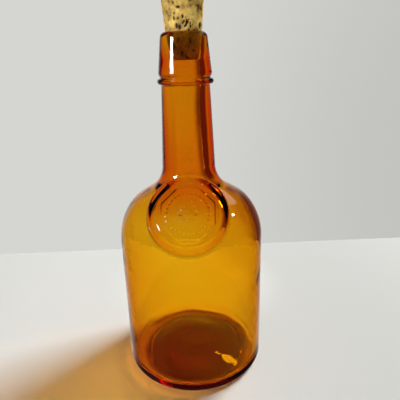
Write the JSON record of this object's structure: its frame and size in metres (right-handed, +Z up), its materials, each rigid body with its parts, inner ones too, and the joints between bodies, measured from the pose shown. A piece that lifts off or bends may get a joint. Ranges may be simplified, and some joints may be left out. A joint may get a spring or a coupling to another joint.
{
  "type": "antique glass bottle",
  "caption": "Amber glass bottle with round shoulders, an applied tapered lip and string ring, a blank medallion seal on the shoulder and a removable tapered cork.",
  "frame": {"origin": "centre of the bottle's base, on the surface it stands on", "axes": "+Z up along the bottle's axis, -Y out of the side that carries the seal, +X to the right of a viewer who faces the seal"},
  "size_m": [0.085, 0.087, 0.218],
  "materials": {
    "amber_glass": "clear amber glass, fire polished",
    "cork": "natural cork, dry and pitted"
  },
  "bodies": {
    "bottle": {"glass_body": "amber_glass", "neck_tube": "amber_glass", "lip_collar": "amber_glass", "string_ring": "amber_glass", "shoulder_seal": "amber_glass"},
    "cork": {"cork_stopper": "cork"}
  },
  "joints": [
    {"name": "cork_pull", "type": "slide", "parent": "bottle", "child": "cork", "axis": [0, 0, 1], "range_m": [0, 0.05]}
  ]
}
